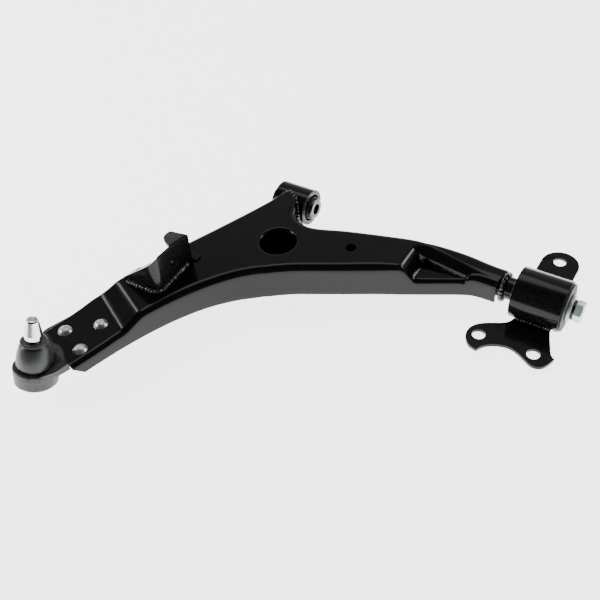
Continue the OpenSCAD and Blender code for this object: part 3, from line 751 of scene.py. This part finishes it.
def eye_weld_path():
    """Round the arm's nose where it meets the eye tube: up one side, over the tip and down the
    other, always on the tube's surface."""
    nose = smooth_path(np.array([[-13.6, -19.6], [-12.6, -16.5], [-9.8, -12.2], [-3, -6.6], [4, -9.2],
                                 [9.3, -13.4], [12.6, -17.4], [13.6, -19.7]]) * MM, 40)
    top = np.stack([nose[:, 0], nose[:, 1], np.sqrt(np.maximum(EYE_R**2 - nose[:, 1]**2, 0))], -1)
    down = np.radians(np.linspace(8, -58, 12))
    side = np.stack([np.zeros(12), -EYE_R * np.cos(down), EYE_R * np.sin(down)], -1)
    left = side[::-1] + np.array([-14.2 * MM, 0, 0])
    right = side + np.array([14.2 * MM, 0, 0])
    return np.vstack([left, top[2:-2], right])[::2]


weld_bead("front_eye_bead", eye_weld_path(), 2.5 * MM, "arm", ("front_eye_weld",), 4 * MM, 1)

turn = np.radians(np.linspace(-200, 200, 60))
ring = np.stack([np.full(60, ARM_END + 1.9 * MM), SHAFT[1] + (SHAFT_R + 1.5 * MM) * np.sin(turn),
                 SHAFT[2] + (SHAFT_R + 1.5 * MM) * np.cos(turn)], -1)
weld_bead("shaft_bead", ring, 2.6 * MM, "arm", ("shaft_weld",), 3.4 * MM, 5)

LINK_LOW, LINK_HIGH = corners("link_bracket_weld")
LEG_X = LINK_HIGH[0] - 3 * MM
LEG_Y = LINK_LOW[1] + 3 * MM
bend = np.radians(np.linspace(-82, -8, 7))
corner = np.array([LEG_X - 9.5 * MM, LEG_Y + 9.5 * MM])
foot = [[LINK_LOW[0] + 1 * MM, LEG_Y], [LINK_LOW[0] + 14 * MM, LEG_Y], [corner[0] - 1 * MM, LEG_Y]]
foot += [[corner[0] + 9.5 * MM * math.cos(t), corner[1] + 9.5 * MM * math.sin(t)] for t in bend]
foot += [[LEG_X, corner[1] + 1 * MM], [LEG_X, corner[1] + 18 * MM], [LEG_X, LINK_HIGH[1] - 1 * MM]]
foot = smooth_path(np.array(foot), 60)
weld_bead("link_bracket_bead", np.column_stack([foot, np.full(60, TOP_Z + 0.6 * MM)]), 2.7 * MM, "arm",
          ("link_bracket_weld",), 3.6 * MM, 9)

PLATE_TOP = corners("rear_bracket_plate")[1][2]
half_chord = math.sqrt(HOUSING_R**2 - (SHAFT[2] - PLATE_TOP)**2)
for side, ends in ((-1, (-19, 17)), (1, (-18, 13))):
    edge = np.array([[SHAFT[0] + x * MM, SHAFT[1] + side * (half_chord + 0.6 * MM), PLATE_TOP + 0.3 * MM]
                     for x in np.linspace(*ends, 6)])
    weld_bead("rear_bracket_bead_" + ("near" if side < 0 else "far"), edge, 2.4 * MM, "rear_mount",
              ("rear_bracket_welds",), 3.2 * MM, 12 + side)

# ---------------------------------------------------------------- ball joint

BOOT_LOW = 6 * MM
LIP_S = 35 * MM
BOOT_R = 17.2 * MM
NECK_R = 5.59 * MM
SEAM_S = 26.5 * MM
BOOT_WALL = 1.5 * MM
BEND_HIGH = LIP_S - 5 * MM
NO_POINTS = np.zeros((0, 2))


def boot_outside(s):
    """The boot's outer radius at a height: a bell that narrows slowly, then quickly under the lip."""
    f = (s - BOOT_LOW) / (LIP_S - BOOT_LOW)
    return BOOT_R * (1.03 - 0.05 * f - 0.33 * f**2 + 0.04 * np.sin(f * math.pi))


def boot_half(name, low, high, extra_low, extra_high, body):
    """Part of the dust boot between two heights: its outside wall, its rims, and its inside wall."""
    s = np.linspace(low, high, 24)
    outside = np.stack([boot_outside(s), s], -1)
    inside = np.stack([boot_outside(s) - BOOT_WALL, s], -1)[::-1]
    profile = np.vstack([extra_low, outside, extra_high, inside])
    return turned(name, profile, body, "boot_rubber", BALL, STUD_AXIS, 128, ("dust_boot",), 30)


foot_bead = np.array([[BOOT_R - 3 * MM, BOOT_LOW], [BOOT_R - 0.4 * MM, BOOT_LOW],
                      [BOOT_R, BOOT_LOW + 0.35 * MM], [BOOT_R, BOOT_LOW + 0.8 * MM],
                      [BOOT_R - 1.2 * MM, BOOT_LOW + 0.95 * MM], [BOOT_R - 1.2 * MM, BOOT_LOW + 2.3 * MM],
                      [BOOT_R + 0.1 * MM, BOOT_LOW + 2.5 * MM]])
lip = np.array([[NECK_R + 5.9 * MM, LIP_S - 3.3 * MM], [NECK_R + 6.9 * MM, LIP_S - 2.2 * MM],
                [NECK_R + 7.2 * MM, LIP_S - 1.2 * MM], [NECK_R + 6.9 * MM, LIP_S - 0.4 * MM],
                [NECK_R + 6.2 * MM, LIP_S], [NECK_R + 2.6 * MM, LIP_S - 0.1 * MM],
                [NECK_R + 2.1 * MM, LIP_S - 0.6 * MM], [NECK_R + 2.1 * MM, LIP_S - 4 * MM],
                [NECK_R + 3 * MM, LIP_S - 5.2 * MM]])
lower_half = boot_half("boot_lower", BOOT_LOW + 3 * MM, SEAM_S, foot_bead, NO_POINTS, "arm")
upper_half = boot_half("boot_upper", SEAM_S, BEND_HIGH, NO_POINTS, lip, "boot_ring")


def bend_between(piece):
    """Takes a piece off its body, leaving it where it is with its transform baked into its points."""
    piece.parent = None
    if "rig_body" in piece:
        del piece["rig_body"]
    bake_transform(piece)


bend_between(lower_half)
bend_between(upper_half)

RIVET_R = 7.2 * MM
RIVET_RISE = 4.1 * MM
RIVET_DIMPLE = 1.0 * MM
RIVET_PLACES = ((-16, 42.5), (16, 42.5), (0, 73.5))
turn_in = math.radians(21)
for k, (across, along) in enumerate(RIVET_PLACES):
    at = np.array([BALL[0] + (across * math.cos(turn_in) + along * math.sin(turn_in)) * MM,
                   BALL[1] + (-across * math.sin(turn_in) + along * math.cos(turn_in)) * MM, SHELL_SEAT])
    t = np.linspace(0, 1, 22)
    dome = np.stack([RIVET_R * np.sin(t[::-1] * math.pi / 2) ** 0.92,
                     RIVET_RISE * (1 - np.sin(t[::-1] * math.pi / 2) ** 2.3)], -1)
    dome[:, 1] -= RIVET_DIMPLE * np.exp(-((dome[:, 0] / (2.1 * MM)) ** 2))
    dome[-1, 0] = 0.0
    head = np.vstack([[[0, -9 * MM], [6.4 * MM, -9 * MM], [6.4 * MM, -7 * MM], [4 * MM, -6.8 * MM],
                       [4 * MM, -0.2 * MM], [RIVET_R, -0.02 * MM]], dome])
    ripple = (lambda angle, s, k=k: 0.12 * MM * np.sin(3 * angle + 2 * k) * (s > 0.2 * MM))
    turned("rivet_%d" % (k + 1), head, "arm", "rivet_steel", at, np.array([0, 0, 1.0]), 64,
           ("rivets",), 40, ripple)

# ---------------------------------------------------------------- edges of the CAD's plates and turned parts

for node, width, body, slot in (
        ("link_bracket", 0.45, "arm", "arm_paint"), ("rear_bracket_plate", 0.5, "rear_mount", "arm_paint"),
        ("rear_bracket_tab", 0.5, "rear_mount", "arm_paint"),
        ("rear_bush_housing", 0.5, "rear_mount", "arm_paint"),
        ("front_eye_tube", 0.5, "arm", "arm_paint"), ("rear_bolt", 0.3, "arm", "zinc"),
        ("rear_end_washer", 0.25, "arm", "zinc"), ("rear_spring_washer", 0.3, "arm", "dark_steel"),
        ("ball_joint_housing", 0.4, "arm", "forging")):
    softened(node, width * MM, body, slot)

# ---------------------------------------------------------------- floor, light and camera

FLOOR_Z = CAD_BOX[0][2] - 0.5 * MM
FLOOR_HALF = 3
FLOOR_STEPS = 9
FLOOR_GLOW = 3.4
t = np.linspace(-1, 1, FLOOR_STEPS)
gx, gy = np.meshgrid(t, t, indexing="ij")
floor_pts = np.stack([gx * FLOOR_HALF, gy * FLOOR_HALF, np.full(gx.shape, FLOOR_Z)], -1)
floor_mesh = bpy.data.meshes.new("studio_floor")
floor_mesh.from_pydata(floor_pts.reshape(-1, 3).tolist(), [],
                       grid_faces(FLOOR_STEPS, FLOOR_STEPS, False, False))
floor = bpy.data.objects.new("studio_floor", floor_mesh)
bpy.context.scene.collection.objects.link(floor)
floor_mat, floor_tree, floor_shader = material("studio_floor")
sweep = noise(floor_tree, add(floor_tree, "ShaderNodeTexCoord").outputs["Object"], 2.0, 2.0, 0.5)
floor_tree.links.new(mix_colour(floor_tree, sweep, [0.96, 0.96, 0.96], [0.98, 0.98, 0.98]),
                     floor_shader.inputs["Base Color"])
floor_shader.inputs["Roughness"].default_value = 0.9
floor_shader.inputs["Emission Color"].default_value = (1.0, 1.0, 1.0, 1.0)
floor_shader.inputs["Emission Strength"].default_value = FLOOR_GLOW
floor_mesh.materials.append(floor_mat)

VIEW_TURN = math.radians(36.0)
VIEW_RISE = math.radians(45.45)
VIEW_ROLL = math.radians(6.45)
VIEW_DISTANCE = 0.85
LENS = 51
SENSOR = 36
FARTHEST = 20
box_middle = (np.array(CAD_BOX[0]) + np.array(CAD_BOX[1])) / 2
LOOK_AT = Vector(box_middle + np.array([-25.2, 5.5, -13.5]) * MM)

behind = Vector((math.sin(VIEW_TURN) * math.cos(VIEW_RISE), -math.cos(VIEW_TURN) * math.cos(VIEW_RISE),
                 math.sin(VIEW_RISE)))
level = Vector((math.cos(VIEW_TURN), math.sin(VIEW_TURN), 0))
upright = behind.cross(level)
side = level * math.cos(VIEW_ROLL) - upright * math.sin(VIEW_ROLL)
head = level * math.sin(VIEW_ROLL) + upright * math.cos(VIEW_ROLL)
camera_data = bpy.data.cameras.new("camera")
camera_data.lens = LENS
camera_data.sensor_width = SENSOR
camera_data.clip_end = FARTHEST
camera = bpy.data.objects.new("camera", camera_data)
camera.matrix_world = Matrix.Translation(LOOK_AT + behind * VIEW_DISTANCE) @ Matrix(
    (side, head, behind)).transposed().to_4x4()
bpy.context.scene.collection.objects.link(camera)
bpy.context.scene.camera = camera


def softbox(name, place, aim, width, height, power):
    """A rectangular soft light pointing at a place."""
    light = bpy.data.lights.new(name, "AREA")
    light.shape = "RECTANGLE"
    light.size, light.size_y = width, height
    light.energy = power
    obj = bpy.data.objects.new(name, light)
    facing = (place - aim).to_track_quat("Z", "Y").to_matrix().to_4x4()
    obj.matrix_world = Matrix.Translation(place) @ facing
    bpy.context.scene.collection.objects.link(obj)


away = Vector((-math.sin(VIEW_TURN), math.cos(VIEW_TURN), 0))
across = Vector((math.cos(VIEW_TURN), math.sin(VIEW_TURN), 0))
up = Vector((0, 0, 1))
centre = Vector(box_middle)
# Each light: how far to the right, back and up it stands (m), its width and height (m), its power (W).
for name, right, back, rise, width, height, power in (
        ("overhead", 0, 0.9, 1.9, 1.3, 0.9, 9), ("left_side", -1.7, 0.3, 0.9, 0.5, 0.7, 16),
        ("right_side", 1.8, 0.4, 0.8, 0.5, 0.7, 12), ("far_left", -1.3, 1.2, 1.3, 0.16, 0.6, 3)):
    softbox(name, centre + across * right + up * rise + away * back, centre, width, height, power)

WORLD_DIM = 0.05
WORLD_BRIGHT = 0.6
world = bpy.data.worlds.new("studio")
bpy.context.scene.world = world
world.use_nodes = True
wt = world.node_tree
direction = add(wt, "ShaderNodeTexCoord").outputs["Generated"]
toward = add(wt, "ShaderNodeVectorMath", operation="DOT_PRODUCT", i0=direction,
             i1=tuple(away * 0.8 + across * 0.35)).outputs["Value"]
level_of = spread(wt, toward, -0.1, 0.85, WORLD_DIM, WORLD_BRIGHT)
wt.links.new(level_of, wt.nodes["Background"].inputs["Strength"])
wt.nodes["Background"].inputs["Color"].default_value = (1.0, 1.0, 1.0, 1.0)
